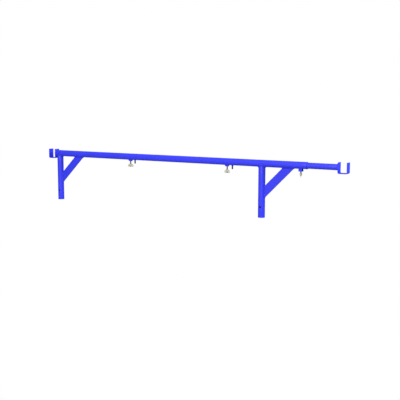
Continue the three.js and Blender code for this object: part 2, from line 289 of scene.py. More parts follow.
def drill(piece, axis, radius, start, end):
    """Cuts a round hole in a piece, from start to end along an axis."""
    turns = np.linspace(0, FULL_TURN, SMALL_COLUMNS, endpoint=False)
    rows = [axis.at(s, radius, turns) for s in (start, end)]
    rod = Surface()
    rod.grid(rows)
    rod.cap(rows[0])
    rod.cap(rows[1])
    cutter = new_piece("cutter", rod.mesh("cutter"))
    with_modifier(piece, "BOOLEAN", object=cutter, operation="DIFFERENCE", solver="EXACT")
    bpy.data.objects.remove(cutter)


SLOTS = {part["node"]: part["material_slot"] for part in frame["record"]["subparts"]}


def finish(node, piece):
    """Stands a piece for a CAD node: it moves with the node's body and has its slot's material."""
    shade(piece.data)
    piece.data.materials.clear()
    piece.data.materials.append(FINISHES[SLOTS[node]])
    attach(piece, frame["nodes"][node]["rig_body"])
    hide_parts(node)


def paint_inside_shade(piece, inside):
    """Gives the faces whose centres are inside a near-black finish, as painted shade in hollows that
    light hardly reaches.
    """
    faces = piece.data.polygons
    centres = np.empty(3 * len(faces))
    faces.foreach_get("center", centres)
    piece.data.materials.append(PAINTED_SHADE_INSIDE)
    faces.foreach_set("material_index", inside(centres.reshape(-1, 3)).astype(np.int32))


def finish_surface(node, surface):
    name = f"{node}_finished"
    piece = new_piece(name, surface.mesh(name))
    finish(node, piece)
    return piece


def middle(node):
    low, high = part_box(node)
    return np.array((low + high) / 2)


def quarter(steps=4):
    return np.linspace(0, math.pi / 2, steps + 1)


def unit(vectors):
    return vectors / np.linalg.norm(vectors, axis=-1, keepdims=True)


def arc(centre, radius, start, end, steps):
    """Points along a flat arc, and the directions from its centre to them. Angles are in degrees."""
    angles = np.radians(np.linspace(start, end, steps + 1))
    out = np.stack([np.cos(angles), np.sin(angles)], 1)
    return np.asarray(centre) + radius * out, out


def rounded_rectangle(width, height, radius, side_steps=6, corner_steps=4):
    """Points round a rounded rectangle, anticlockwise from the foot of its right side, and normals."""
    x = width / 2 - radius
    y = height / 2 - radius
    points = []
    normals = []
    for start, corner in zip((0, 90, 180, 270), ((x, y), (-x, y), (-x, -y), (x, -y))):
        bend, out = arc(corner, radius, start, start + 90, corner_steps)
        turn = math.radians(start)
        along = np.array([-math.sin(turn), math.cos(turn)])
        run = 2 * abs(np.dot(along, (x, y)))
        back = np.linspace(-run, 0, side_steps + 1)[1:-1, None]
        points += [bend[:1] - run * along, bend[:1] + back * along, bend[:-1]]
        normals += [out[:1], np.repeat(out[:1], side_steps - 1, 0), out[:-1]]
    return np.concatenate(points), np.concatenate(normals)


# Tubes


def square_loop(cells):
    """Places round a square from -1 to 1, with that many cells on each side."""
    step = np.linspace(-1, 1, cells + 1)[:-1]
    one = np.ones(cells)
    sides = ((step, -one), (one, step), (-step, one), (-one, -step))
    return np.concatenate([np.stack(side, 1) for side in sides])


def rim_rows(place, end, out, outer, inner, rim, turns):
    """The rounded end of a tube's wall. out is 1 where the end looks along the tube's axis, or -1."""
    rise = rim * np.sin(quarter())
    draw = rim * (1 - np.cos(quarter()))
    outside = [(end - out * (rim - up), outer - back) for up, back in zip(rise, draw)]
    inside = [(end - out * (rim - up), inner + back) for up, back in zip(rise[::-1], draw[::-1])]
    return [place(s, radius, turns) for s, radius in outside + inside]


def tube(axis, start, end, outer, wall, rim, holes=(), cells=HOLE_CELLS, top=None):
    """A tube with rounded rims. A hole is (place, turn, radius); top(radius, turn) copes the far end."""
    inner = outer - wall
    turns = np.linspace(0, FULL_TURN, TUBE_COLUMNS, endpoint=False)
    half_turn = cells / 2 * FULL_TURN / TUBE_COLUMNS

    def place(s, radius, turn):
        if top is not None:
            bend = np.clip((s - LEG_COPE_START) / (end - LEG_COPE_START), 0, None)
            s = s + bend * (top(radius, turn) - end)
        return axis.at(s, radius, turn)

    stations = np.linspace(start + rim, end - rim, max(2, round((end - start) / TUBE_STEP)))
    for hole, _, radius in holes:
        stations = stations[abs(stations - hole) > HOLE_MARGIN * radius]
    squares = [hole + HOLE_MARGIN * radius * np.linspace(-1, 1, cells + 1) for hole, _, radius in holes]
    stations = np.unique(np.concatenate([stations, *squares]).round(STATION_DIGITS))

    surface = Surface()
    skip = set()
    for hole, turn, radius in holes:
        row = int(np.argmin(abs(stations - (hole - HOLE_MARGIN * radius))))
        column = round((turn - half_turn) / FULL_TURN * TUBE_COLUMNS)
        skip |= {(row + a, (column + b) % TUBE_COLUMNS) for a in range(cells) for b in range(cells)}
        drilled_patch(surface, place, outer, inner, hole, turn, radius, half_turn, cells)
    for radius in (outer, inner):
        surface.grid(place(stations[:, None], radius, turns[None, :]), skip=skip)
    surface.grid(rim_rows(place, start, -1, outer, inner, rim, turns))
    surface.grid(rim_rows(place, end, 1, outer, inner, rim, turns))
    return surface


def drilled_patch(surface, place, outer, inner, hole, turn, radius, half_turn, cells):
    """The square of a tube's two walls round a hole, and the hole's own wall between them."""
    loop = square_loop(cells)
    square = np.stack([hole + HOLE_MARGIN * radius * loop[:, 0], turn + half_turn * loop[:, 1]], 1)
    heading = np.arctan2(loop[:, 1] * half_turn * outer, loop[:, 0] * HOLE_MARGIN * radius)

    def ring(wall_radius, hole_radius):
        around = np.arcsin(hole_radius * np.sin(heading) / wall_radius)
        return np.stack([hole + hole_radius * np.cos(heading), turn + around], 1)

    wide = radius + HOLE_CHAMFER
    rows = [(square, outer), ((square + ring(outer, wide)) / 2, outer), (ring(outer, wide), outer)]
    rows += [(ring(outer - HOLE_CHAMFER, radius), outer - HOLE_CHAMFER)]
    rows += [(ring(inner + HOLE_CHAMFER, radius), inner + HOLE_CHAMFER)]
    rows += [(ring(inner, wide), inner), ((square + ring(inner, wide)) / 2, inner), (square, inner)]
    surface.grid([place(flat[:, 0], wall_radius, flat[:, 1]) for flat, wall_radius in rows])


bar_low, bar_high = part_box("main_bar")
BAR_RADIUS = (bar_high.z - bar_low.z) / 2
BAR_HEIGHT = (bar_high.z + bar_low.z) / 2
BAR_AXIS = Axis((0, 0, BAR_HEIGHT), X, -Z)
SCREWS = ("accessory_1_screw", "accessory_2_screw", "lock_screw")


def under_bar(y, margin=0.0):
    """The height of the bar's underside at a distance from its middle plane."""
    return BAR_HEIGHT - np.sqrt((BAR_RADIUS + margin) ** 2 - np.square(y))


def make_bar():
    holes = [(middle(f"{screw}_stem")[0], 0.0, SCREW_HOLE_RADIUS) for screw in SCREWS]
    bar = tube(BAR_AXIS, bar_low.x, bar_high.x, BAR_RADIUS, BAR_WALL, BAR_RIM, holes)
    piece = finish_surface("main_bar", bar)
    bore = BAR_RADIUS - BAR_WALL + GAP
    # The bore gets the near-black finish: painted shade inside the tube, where the mouth and holes show
    # it.
    paint_inside_shade(piece, lambda at: np.linalg.norm((at - BAR_AXIS.origin)[:, 1:], axis=1) < bore)


def make_extension_tube():
    low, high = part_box("extension_tube")
    radius = (high.z - low.z) / 2
    finish_surface("extension_tube", tube(BAR_AXIS, low.x, high.x, radius, EXTENSION_WALL, BAR_RIM))


# Legs and braces


def leg_axis(side):
    return Axis((middle(f"{side}_leg")[0], 0, 0), Z, -Y)


def leg_radius(side):
    low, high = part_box(f"{side}_leg")
    return (high.x - low.x) / 2


def make_leg(side):
    low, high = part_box(f"{side}_leg")
    holes = [(low.z + LEG_HOLE_HEIGHT, turn, LEG_HOLE_RADIUS) for turn in (0.0, math.pi)]

    def top(radius, turn):
        return under_bar(radius * np.cos(turn), GAP)

    radius = leg_radius(side)
    axis = leg_axis(side)
    leg = tube(axis, low.z, high.z, radius, LEG_WALL, FOOT_RIM, holes, LEG_HOLE_CELLS, top)
    piece = finish_surface(f"{side}_leg", leg)
    bore = radius - LEG_WALL + GAP
    # The leg's bore gets the near-black finish: painted shade seen through the holes and the foot.
    paint_inside_shade(piece, lambda at: np.linalg.norm((at - axis.origin)[:, :2], axis=1) < bore)


class Brace:
    """The slanted flat bar of one leg. Its centre line rises from the leg's axis to the bar's axis."""

    def __init__(self, side):
        self.side = side
        self.leg_x = middle(f"{side}_leg")[0]
        self.leg_radius = leg_radius(side)
        low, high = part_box(f"{side}_brace")
        # The corners that the box touches: the lowest on the leg, and the furthest out under the bar.
        run = high.x - self.leg_x - self.leg_radius
        rise = under_bar(0) - low.z
        self.along = unit(np.array([run, 0, rise]))
        across = np.array([-self.along[2], 0, self.along[0]])
        outer_corner = np.array([self.leg_x + self.leg_radius, 0, low.z])
        start = outer_corner + BRACE_WIDTH / 2 * across
        section, normals = rounded_rectangle(
            BRACE_THICKNESS, BRACE_WIDTH, BRACE_CORNER, BRACE_SIDE_STEPS, BRACE_CORNER_STEPS
        )
        self.normals = normals[:, :1] * Y + normals[:, 1:] * across
        self.lines = start + section[:, :1] * Y + section[:, 1:] * across

    def on_leg(self, margin=0.0):
        """Where the section's lines meet the leg, and the leg's normals there."""
        y = self.lines[:, 1]
        x = self.leg_x + np.sqrt((self.leg_radius + margin) ** 2 - y ** 2)
        points = self.lines + ((x - self.lines[:, 0]) / self.along[0])[:, None] * self.along
        return points, unit((points - (self.leg_x, 0, 0)) * (1, 1, 0))

    def on_bar(self, margin=0.0):
        z = under_bar(self.lines[:, 1], margin)
        points = self.lines + ((z - self.lines[:, 2]) / self.along[2])[:, None] * self.along
        return points, unit((points - (0, 0, BAR_HEIGHT)) * (0, 1, 1))

    def make(self):
        foot, _ = self.on_leg(GAP)
        head, _ = self.on_bar(GAP)
        steps = np.linspace(0, 1, BRACE_ROWS)[:, None, None]
        rows = foot + steps * (head - foot)
        surface = Surface()
        surface.grid(rows)
        surface.cap(rows[0])
        surface.cap(rows[-1])
        finish_surface(f"{self.side}_brace", surface)
        foot, leg_normals = self.on_leg()
        head, bar_normals = self.on_bar()
        weld(f"{self.side}_brace_lower_weld", foot, self.normals, leg_normals, BRACE_WELD)
        weld(f"{self.side}_brace_upper_weld", head, self.normals, bar_normals, BRACE_WELD)


# Welds


def evenly(values, points, count, closed):
    """Values that go with the points of a line, read off at even distances along it."""
    if closed:
        values = np.concatenate([values, values[:1]])
        points = np.concatenate([points, points[:1]])
    steps = np.linalg.norm(np.diff(points, axis=0), axis=1)
    travelled = np.concatenate([[0], np.cumsum(steps)])
    wanted = np.linspace(0, travelled[-1], count, endpoint=not closed)
    read = [np.interp(wanted, travelled, column) for column in values.T]
    return np.stack(read, 1), travelled[-1]


def bead_section():
    """Angles round a bead's section, closest together on its open side."""
    open_side = np.radians(np.linspace(-20, 200, 13))
    return np.concatenate([open_side, np.radians([235, 270, 305])])


def weld_line(points, normals_a, normals_b, closed):
    """A weld's line in even steps, the two surfaces' normals there, and the number of its ripples."""
    values = np.concatenate([points, normals_a, normals_b], 1)
    _, length = evenly(values, points, 2, closed)
    ripples = max(LEAST_RIPPLES, round(length / RIPPLE_PITCH))
    count = ripples * RIPPLE_ROWS + (0 if closed else 1)
    even, _ = evenly(values, points, count, closed)
    return even[:, :3], unit(even[:, 3:6]), unit(even[:, 6:]), ripples


def bead_directions(line, first, second, closed):
    """The ways out of and across a bead, square to its line. The way out lies between the normals."""
    if closed:
        tangent = unit(np.roll(line, -1, 0) - np.roll(line, 1, 0))
    else:
        tangent = unit(np.gradient(line, axis=0))
    out = unit(first + second)
    out = unit(out - (out * tangent).sum(1, keepdims=True) * tangent)
    return out, np.cross(tangent, out)


def weld(node, points, normals_a, normals_b, leg, closed=True):
    """A rippled fillet along the line where two surfaces meet. The normals are the surfaces' own."""
    line, first, second, ripples = weld_line(points, normals_a, normals_b, closed)
    out, across = bead_directions(line, first, second, closed)
    # The sine and cosine of half the angle that the two surfaces open to.
    open_sine = np.clip((first * out).sum(1), *OPEN_SINES)[:, None]
    open_cosine = np.sqrt(1 - open_sine ** 2)
    angles = bead_section()[None, :]
    place = np.arange(len(line))[:, None] / RIPPLE_ROWS
    ahead = place - RIPPLE_CRESCENT * np.cos(angles) ** 2
    part = ahead - np.floor(ahead)
    ripple = RIPPLE_HEIGHT * (4 * part * (1 - part) - RIPPLE_LEVEL)
    # Two slow waves along the whole bead, out of step with each other.
    turn = FULL_TURN * place / ripples
    wander = 1 + BEAD_WANDER * (np.sin(3 * turn + 1) + 0.6 * np.sin(7 * turn + 2.5))
    half_width = BEAD_HALF_WIDTH * leg * open_sine * wander
    half_height = leg * np.maximum(BEAD_HALF_HEIGHT * open_cosine, BEAD_LEAST_HALF_HEIGHT)
    lift = BEAD_LIFT * leg * open_cosine
    if not closed:
        taper = np.sqrt(np.clip(np.minimum(place, ripples - place), 0, 1))
        half_width = half_width * np.maximum(taper, BEAD_END)
        half_height = half_height * np.maximum(taper, BEAD_END)
        lift = lift * taper
    rise = lift + half_height * np.sin(angles) * (1 + ripple)
    spread = half_width * np.cos(angles) * (1 + RIPPLE_SPREAD * ripple)
    rows = line[:, None, :] + rise[..., None] * out[:, None, :] + spread[..., None] * across[:, None, :]
    low, high = cad_box
    rows = np.clip(rows, np.array(low) + MERGE_DISTANCE, np.array(high) - MERGE_DISTANCE)
    surface = Surface()
    surface.grid(rows, looped=closed)
    if not closed:
        surface.cap(rows[0])
        surface.cap(rows[-1])
    finish_surface(node, surface)


def make_leg_weld(side):
    radius = leg_radius(side)
    turns = np.linspace(0, FULL_TURN, LEG_WELD_POINTS, endpoint=False)
    out = np.stack([np.cos(turns), np.sin(turns), 0 * turns], 1)
    points = out * radius + (middle(f"{side}_leg")[0], 0, 0)
    points[:, 2] = under_bar(points[:, 1], LEG_WELD_DROP)
    bar_normals = unit((points - (0, 0, BAR_HEIGHT)) * (0, 1, 1))
    weld(f"{side}_leg_weld", points, out, bar_normals, LEG_WELD)


def make_saddle_weld(side, tube_node, face_x, direction, leg):
    low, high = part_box(tube_node)
    turns = np.linspace(0, FULL_TURN, SADDLE_WELD_POINTS, endpoint=False)
    out = np.stack([0 * turns, np.cos(turns), np.sin(turns)], 1)
    points = out * (high.z - low.z) / 2 + (face_x, 0, BAR_HEIGHT)
    weld(f"{side}_saddle_weld", points, out, np.repeat([direction * X], len(turns), 0), leg)


def on_bar(x, section, normals):
    """A flat outline, seen along Z, laid on the bar's underside, with both surfaces' normals."""
    points = np.stack([x + section[:, 0], section[:, 1], under_bar(section[:, 1])], 1)
    sides = np.concatenate([normals, 0 * normals[:, :1]], 1)
    return points, sides, unit((points - (0, 0, BAR_HEIGHT)) * (0, 1, 1))


# Bent plates


def bent_strip(outside, inside, width_axis, width, edge, corner, plane):
    """A strip of plate between two matched lines in a plane, with rounded edges and free corners.
    Each line is flat points; plane turns them into points in space."""
    middle_line = (outside + inside) / 2
    thickness = np.linalg.norm(outside - inside, axis=1)
    across = unit(outside - inside)
    steps = np.linalg.norm(np.diff(middle_line, axis=0), axis=1)
    travelled = np.concatenate([[0], np.cumsum(steps)])
    from_end = np.minimum(travelled, travelled[-1] - travelled)
    surface = Surface()
    rows = []
    for point, out, thick, distance in zip(middle_line, across, thickness, from_end):
        inset = edge - math.sqrt(max(edge ** 2 - max(edge - distance, 0) ** 2, 0))
        cut = corner - math.sqrt(max(corner ** 2 - max(corner - distance, 0) ** 2, 0))
        rounding = edge * SECTION_ROUNDING - inset * SECTION_SHRINK
        section, _ = rounded_rectangle(thick - 2 * inset, width - 2 * (inset + cut), rounding)
        flat = point + section[:, :1] * out
        rows.append(plane(flat) + section[:, 1:] * width_axis)
    surface.grid(rows)
    surface.cap(rows[0])
    surface.cap(rows[-1])
    return surface


def wall_heights(top, bend_start, edge, corner):
    """Heights down a strip's free wall, closest together at its rounded end."""
    rounding = edge * (1 - np.sin(quarter()))[::-1]
    shoulder = corner * (1 - np.sin(quarter(FINE_QUARTER)))[::-1]
    near_end = np.unique(np.concatenate([rounding, shoulder]).round(HEIGHT_DIGITS))
    return np.concatenate([top - near_end, [(top + bend_start) / 2]])


def u_line(half, floor, radius, heights):
    """One side of a U of plate, from its left top down, across and up again."""
    left, _ = arc((-half + radius, floor + radius), radius, 180, 270, BEND_STEPS)
    right, _ = arc((half - radius, floor + radius), radius, 270, 360, BEND_STEPS)
    down = np.stack([np.full(len(heights), -half), heights], 1)
    return np.concatenate([down, left, right, down[::-1] * (-1, 1)])


def make_saddle(side):
    node = f"{side}_saddle"
    low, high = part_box(node)
    half = (high.x - low.x) / 2
    outside_bend = SADDLE_BEND + SADDLE_PLATE
    heights = wall_heights(high.z, low.z + outside_bend, SADDLE_EDGE, SADDLE_CORNER)
    outside = u_line(half, low.z, outside_bend, heights)
    inside = u_line(half - SADDLE_PLATE, low.z + SADDLE_PLATE, SADDLE_BEND, heights)

    def plane(flat):
        return (middle(node)[0] + flat[:, :1]) * X + flat[:, 1:] * Z

    width = high.y - low.y
    finish_surface(node, bent_strip(outside, inside, Y, width, SADDLE_EDGE, SADDLE_CORNER, plane))


def make_cage():
    low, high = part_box("lock_cage")
    half = (high.y - low.y) / 2
    outside = u_line(half, low.z, CAGE_BEND_OUTSIDE, np.array([under_bar(half)]))
    inner = half - CAGE_WALL
    inside = u_line(inner, low.z + CAGE_FLOOR, CAGE_BEND_INSIDE, np.array([under_bar(inner)]))
    centre = middle("lock_cage")

    def plane(flat):
        return centre[0] * X + flat[:, :1] * Y + flat[:, 1:] * Z

    name = "lock_cage_finished"
    strip = bent_strip(outside, inside, X, high.x - low.x, CAGE_EDGE, 0.0, plane)
    piece = new_piece(name, strip.mesh(name))
    stem = middle("lock_screw_stem")
    hole = stem_radius("lock_screw") + STEM_HOLE_CLEARANCE
    drill(piece, Axis((stem[0], 0, 0), Z, X), hole, low.z - half, low.z + 2 * CAGE_FLOOR)
    finish("lock_cage", piece)
    # The cage's inner faces get the near-black finish: painted shade inside the channel.
    paint_inside_shade(piece, lambda at: (abs(at[:, 1]) < inner + GAP) & (at[:, 2] > low.z + CAGE_FLOOR - GAP))
    for weld_side, y in (("front", -half), ("back", half)):
        x = np.linspace(low.x - GAP, high.x + GAP, CAGE_WELD_POINTS)
        section = np.stack([x, np.full(len(x), y)], 1)
        points, sides, bar_normals = on_bar(0, section, np.repeat([[0, np.sign(y)]], len(x), 0))
        weld(f"lock_cage_{weld_side}_weld", points, sides, bar_normals, CAGE_WELD, closed=False)


# Nuts, pins and wing screws


def stem_radius(screw):
    low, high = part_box(f"{screw}_stem")
    return (high.x - low.x) / 2


def make_nut(accessory):
    node = f"{accessory}_nut"
    low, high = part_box(node)
    centre = middle(node)
    outline, normals = rounded_rectangle(high.x - low.x, high.y - low.y, NUT_CORNER)
    reach = np.linalg.norm(outline, axis=1, keepdims=True)
    heading = outline / reach
    hole = stem_radius(f"{accessory}_screw") + STEM_HOLE_CLEARANCE

    def row(flat, z):
        return np.concatenate([flat + centre[:2], np.broadcast_to(z, (len(flat), 1))], 1)

    chamfered = low.z + np.maximum(reach - NUT_FACE_RADIUS, 0) * NUT_CHAMFER_SLOPE
    rows = [row(heading * hole, high.z), row(heading * hole, low.z + HOLE_CHAMFER)]
    rows += [row(heading * (hole + HOLE_CHAMFER), low.z), row(heading * NUT_FACE_RADIUS, low.z)]
    rows += [row(outline, chamfered + HOLE_CHAMFER / 2), row(outline, high.z)]
    surface = Surface()
    surface.grid(rows, looped=True)
    finish_surface(node, surface)
    weld(f"{node}_weld", *on_bar(centre[0], outline, normals), NUT_WELD)


def make_pin(accessory):
    node = f"{accessory}_pin"
    low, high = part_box(node)
    axis = Axis((middle(node)[0], 0, 0), Z, X)
    radius = (high.x - low.x) / 2
    turns = np.linspace(0, FULL_TURN, SMALL_COLUMNS, endpoint=False)
    bend = quarter(FINE_QUARTER)
    rounding = zip(PIN_ROUNDING * (1 - np.cos(bend)), PIN_ROUNDING * (1 - np.sin(bend)))
    rows = [axis.at(low.z + up, radius - back, turns) for up, back in rounding]
    rows.append(axis.at(under_bar(radius * np.sin(turns), GAP / 2), radius, turns))
    surface = Surface()
    surface.grid(rows)
    surface.cap(rows[0])
    surface.cap(rows[-1])
    finish_surface(node, surface)
    out = np.stack([np.cos(turns), np.sin(turns)], 1)
    weld(f"{node}_weld", *on_bar(middle(node)[0], out * radius, out), PIN_WELD)


def make_stem(screw):
    """A rod whose tail shows under its head, with a right-hand thread above it to the tip. The tail is
    near-black, as painted shade under the head.
    """
    node = f"{screw}_stem"
    _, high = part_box(node)
    axis = Axis((middle(node)[0], middle(node)[1], 0), Z, X)
    radius = stem_radius(screw)
    start = high.z - SCREW_LENGTH
    tip_radius = radius - TIP_DEPTH * THREAD_DEPTH
    turns = np.linspace(0, FULL_TURN, SMALL_COLUMNS + 1)
    end = start - HEAD_HEIGHT - STEM_SHADE_TAILS[screw.split("_")[0]]
    rows = [axis.at(end, radius - TAIL_ROUNDING, turns), axis.at(end + TAIL_ROUNDING, radius, turns)]
    for pitch in range(-1, math.ceil(SCREW_LENGTH / THREAD_PITCH) + 1):
        for place, level in THREAD_PROFILE:
            z = np.clip(start + (pitch + place + turns / FULL_TURN) * THREAD_PITCH, start, high.z)
            cut = THREAD_DEPTH * (1 - level) * np.clip((z - start) / THREAD_PITCH, 0, 1)
            rows.append(axis.at(z, np.minimum(radius - cut, tip_radius + high.z - z), turns))
    surface = Surface()
    surface.grid(rows, closed=False)
    surface.cap(rows[0][:-1])
    surface.cap(rows[-1][:-1])
    piece = finish_surface(node, surface)
    # The tail below the head gets the near-black finish: painted shade under the wing head.
    paint_inside_shade(piece, lambda at: at[:, 2] < start - HEAD_HEIGHT)


def bow(start, pull, end):
    """A curve from start to end, drawn towards pull."""
    start, pull, end = np.array([start, pull, end])
    t = np.linspace(0, 1, BOW_STEPS + 1)[:, None]
    return (1 - t) ** 2 * start + 2 * t * (1 - t) * pull + t ** 2 * end


def ear_outline():
    """One wing of a head, from the middle of the head outwards and back."""
    lobe, _ = arc(EAR_LOBE, EAR_LOBE_RADIUS, EAR_LOBE_START, EAR_LOBE_END, EAR_LOBE_STEPS)
    upper = bow((HEAD_TOP_RADIUS - EAR_TOP_OVERLAP, EAR_ROOT_TOP), EAR_SHOULDER, lobe[0])
    lower = bow(lobe[-1], EAR_WAIST, (HEAD_BOTTOM_RADIUS - EAR_BOTTOM_OVERLAP, EAR_ROOT_BOTTOM))
    return np.concatenate([[(0, EAR_ROOT_TOP)], upper, lobe[1:-1], lower, [(0, EAR_ROOT_BOTTOM)]])


def make_head(screw):
    """A cast wing head: a tapered hub with two ears, blended where they meet."""
    node = f"{screw}_wings"
    _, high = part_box(node)
    stem = middle(f"{screw}_stem")
    # The ears stand where the node's points lie furthest out.
    corners = np.array([v.co for v in frame["nodes"][node].data.vertices]) - stem
    x, y = corners[:, 0], corners[:, 1]
    turn = math.atan2(2 * (x * y).sum(), (x * x - y * y).sum()) / 2
    facing = math.cos(turn) * X + math.sin(turn) * Y
    axis = Axis((stem[0], stem[1], high.z), Z, facing)
    casting = Surface()
    turns = np.linspace(0, FULL_TURN, SMALL_COLUMNS, endpoint=False)
    hub = [axis.at(-HEAD_HEIGHT, HEAD_BOTTOM_RADIUS, turns), axis.at(0, HEAD_TOP_RADIUS, turns)]
    casting.grid(hub)
    casting.cap(hub[0])
    casting.cap(hub[1])
    outline = ear_outline()
    half = np.interp(outline[:, 0], (0, EAR_LOBE[0]), (EAR_ROOT_THICKNESS, EAR_THICKNESS))[:, None] / 2
    for way in (1, -1):
        flat = axis.origin + way * outline[:, :1] * axis.zero + outline[:, 1:] * Z
        faces = [flat - half * axis.side, flat + half * axis.side]
        casting.grid(faces)
        casting.cap(faces[0])
        casting.cap(faces[1])
    name = f"{node}_finished"
    piece = new_piece(name, casting.mesh(name))
    with_modifier(piece, "REMESH", mode="VOXEL", voxel_size=HEAD_VOXEL)
    with_modifier(piece, "SMOOTH", factor=0.5, iterations=6)
    seat = stem_radius(screw) + STEM_HOLE_CLEARANCE
    drill(piece, axis, seat, -2 * HEAD_HEIGHT, HEAD_HEIGHT)
    finish(node, piece)


# Materials


class Finish:
    """A procedural material under construction. Patterns go by the place on the object, in metres."""

    def __init__(self, name, metallic, specular):
        self.material = bpy.data.materials.new(name)
        self.material.use_nodes = True
        self.nodes = self.material.node_tree.nodes
        self.links = self.material.node_tree.links
        self.shader = self.nodes["Principled BSDF"]
        self.shader.inputs["Metallic"].default_value = metallic
        self.shader.inputs["Specular IOR Level"].default_value = specular
        self.place = self.nodes.new("ShaderNodeTexCoord").outputs["Object"]

    def noise(self, size, detail=2.0, roughness=0.5):
        """A noise from 0 to 1, whose spots are about that size."""
        node = self.nodes.new("ShaderNodeTexNoise")
        node.inputs["Scale"].default_value = 1 / size
        node.inputs["Detail"].default_value = detail
        node.inputs["Roughness"].default_value = roughness
        self.links.new(self.place, node.inputs["Vector"])
        return node.outputs["Fac"]

    def cells(self, size):
        """The distance to the nearest of many scattered points."""
        node = self.nodes.new("ShaderNodeTexVoronoi")
        node.inputs["Scale"].default_value = 1 / size
        self.links.new(self.place, node.inputs["Vector"])
        return node.outputs["Distance"]

    def spread(self, value, low, high, start=0.3, end=0.7):
        """A value that goes from low to high as the given one goes from start to end."""
        node = self.nodes.new("ShaderNodeMapRange")
        self.links.new(value, node.inputs["Value"])
        node.inputs["From Min"].default_value = start
        node.inputs["From Max"].default_value = end
        node.inputs["To Min"].default_value = low
        node.inputs["To Max"].default_value = high
        return node.outputs["Result"]

    def blend(self, factor, low, high):
        """A colour between low and high. Each of those is a colour, or a node's output."""
        node = self.nodes.new("ShaderNodeMix")
        node.data_type = "RGBA"
        self.links.new(factor, node.inputs["Factor"])
        for slot, colour in (("A", low), ("B", high)):
            socket = next(i for i in node.inputs if i.identifier == f"{slot}_Color")
            if isinstance(colour, tuple):
                socket.default_value = (*colour, 1)
            else:
                self.links.new(colour, socket)
        return next(o for o in node.outputs if o.identifier == "Result_Color")

    def raised(self, height, distance, strength=1.0, over=None):
        """A bump of that height in metres, laid over another."""
        node = self.nodes.new("ShaderNodeBump")
        node.inputs["Strength"].default_value = strength
        node.inputs["Distance"].default_value = distance
        self.links.new(height, node.inputs["Height"])
        if over is not None:
            self.links.new(over, node.inputs["Normal"])
        return node.outputs["Normal"]

    def made(self, colour, roughness, normal):
        self.links.new(colour, self.shader.inputs["Base Color"])
        self.links.new(roughness, self.shader.inputs["Roughness"])
        self.links.new(normal, self.shader.inputs["Normal"])
        return self.material


def powder_coat(name, light, deep, peel):
    """Blue powder coat: nearly even in colour, with the fine orange peel that it cures to."""
    finish = Finish(name, metallic=0.0, specular=0.4)
    finish.shader.inputs["Coat Weight"].default_value = 0.3
    finish.shader.inputs["Coat Roughness"].default_value = 0.16
    clouds = finish.noise(0.11, detail=3)
    grain = finish.noise(0.0016, detail=3, roughness=0.6)
    colour = finish.blend(finish.spread(clouds, 0, 1), deep, light)
    colour = finish.blend(finish.spread(grain, 0, 0.35), colour, deep)
    roughness = finish.spread(finish.noise(0.03, detail=4), 0.40, 0.52)
    fine = finish.raised(finish.noise(0.0017, detail=2), peel)
    peeled = finish.raised(finish.noise(0.006, detail=1), peel, strength=0.6, over=fine)
    return finish.made(colour, roughness, peeled)


def dark_steel_and_shade(name, deep, rubbed):
    """Blackened steel: satin, with paler rubbed patches and a fine skin of oxide. Made near-black, it
    also serves as painted shade in hollows.
    """
    finish = Finish(name, metallic=0.3, specular=0.4)
    patches = finish.spread(finish.noise(0.004, detail=4, roughness=0.65), 0, 1, start=0.45, end=0.72)
    colour = finish.blend(patches, deep, rubbed)
    roughness = finish.spread(finish.noise(0.0012, detail=3), 0.36, 0.55)
    return finish.made(colour, roughness, finish.raised(finish.noise(0.0006, detail=3), 0.00003))


def shaded_zinc_plate():
    """Zinc on a rolled thread, dulled unevenly, its grey darkened and tinted blue as painted shade and
    painted reflection of the blue bar above it.
    """
    finish = Finish("zinc_thread_painted_shade", metallic=1.0, specular=0.5)
    dulled = finish.spread(finish.noise(0.003, detail=4, roughness=0.6), 0, 1)
    # Both colours are darkened and blue: painted shade and painted reflection of the bar over the stem.
    colour = finish.blend(dulled, (0.10, 0.10, 0.16), (0.24, 0.24, 0.31))
    roughness = finish.spread(finish.noise(0.0011, detail=3), 0.28, 0.5)
    return finish.made(colour, roughness, finish.raised(finish.noise(0.0005, detail=2), 0.00001))


def zinc_cast():
    """Die-cast zinc: warm and pale, with a fine granular skin and duller hollows."""
    finish = Finish("zinc_cast_skin", metallic=0.05, specular=0.5)
    worn = finish.spread(finish.noise(0.005, detail=4, roughness=0.6), 0, 1)
    colour = finish.blend(worn, (0.58, 0.51, 0.32), (0.86, 0.78, 0.57))
    pits = finish.spread(finish.cells(0.0011), 0, 1, start=0.02, end=0.3)
    colour = finish.blend(pits, (0.52, 0.45, 0.30), colour)
    roughness = finish.spread(finish.noise(0.0015, detail=3), 0.34, 0.52)
    skin = finish.raised(finish.noise(0.0008, detail=3, roughness=0.6), 0.00005)
    return finish.made(colour, roughness, finish.raised(pits, 0.00004, strength=0.7, over=skin))


FINISHES = {
    "blue_paint": powder_coat("blue_powder_coat", (0.046, 0.048, 0.90), (0.039, 0.041, 0.80), 0.00002),
    "painted_weld": powder_coat("weld_powder_coat", (0.042, 0.045, 0.84), (0.032, 0.036, 0.70), 0.00005),
    "dark_pin": dark_steel_and_shade("dark_pin_steel", (0.020, 0.020, 0.13), (0.045, 0.045, 0.24)),
    "zinc_thread": shaded_zinc_plate(),
    "zinc_casting": zinc_cast(),
}
# Near-black painted shade for the insides of tubes and the cage, and for the stems' tails under the
# heads.
PAINTED_SHADE_INSIDE = dark_steel_and_shade("painted_shade_inside", (0.008, 0.009, 0.03), (0.02, 0.022, 0.05))


# Studio


def make_camera():
    data = bpy.data.cameras.new("camera")
    data.lens = CAMERA_LENS
    camera = bpy.data.objects.new("camera", data)
    camera.location = CAMERA_PLACE
    camera.rotation_mode = "XYZ"
    angles = (90 - CAMERA_PITCH, CAMERA_ROLL, CAMERA_HEADING)
    camera.rotation_euler = [math.radians(angle) for angle in angles]
    bpy.context.scene.collection.objects.link(camera)
    bpy.context.scene.camera = camera


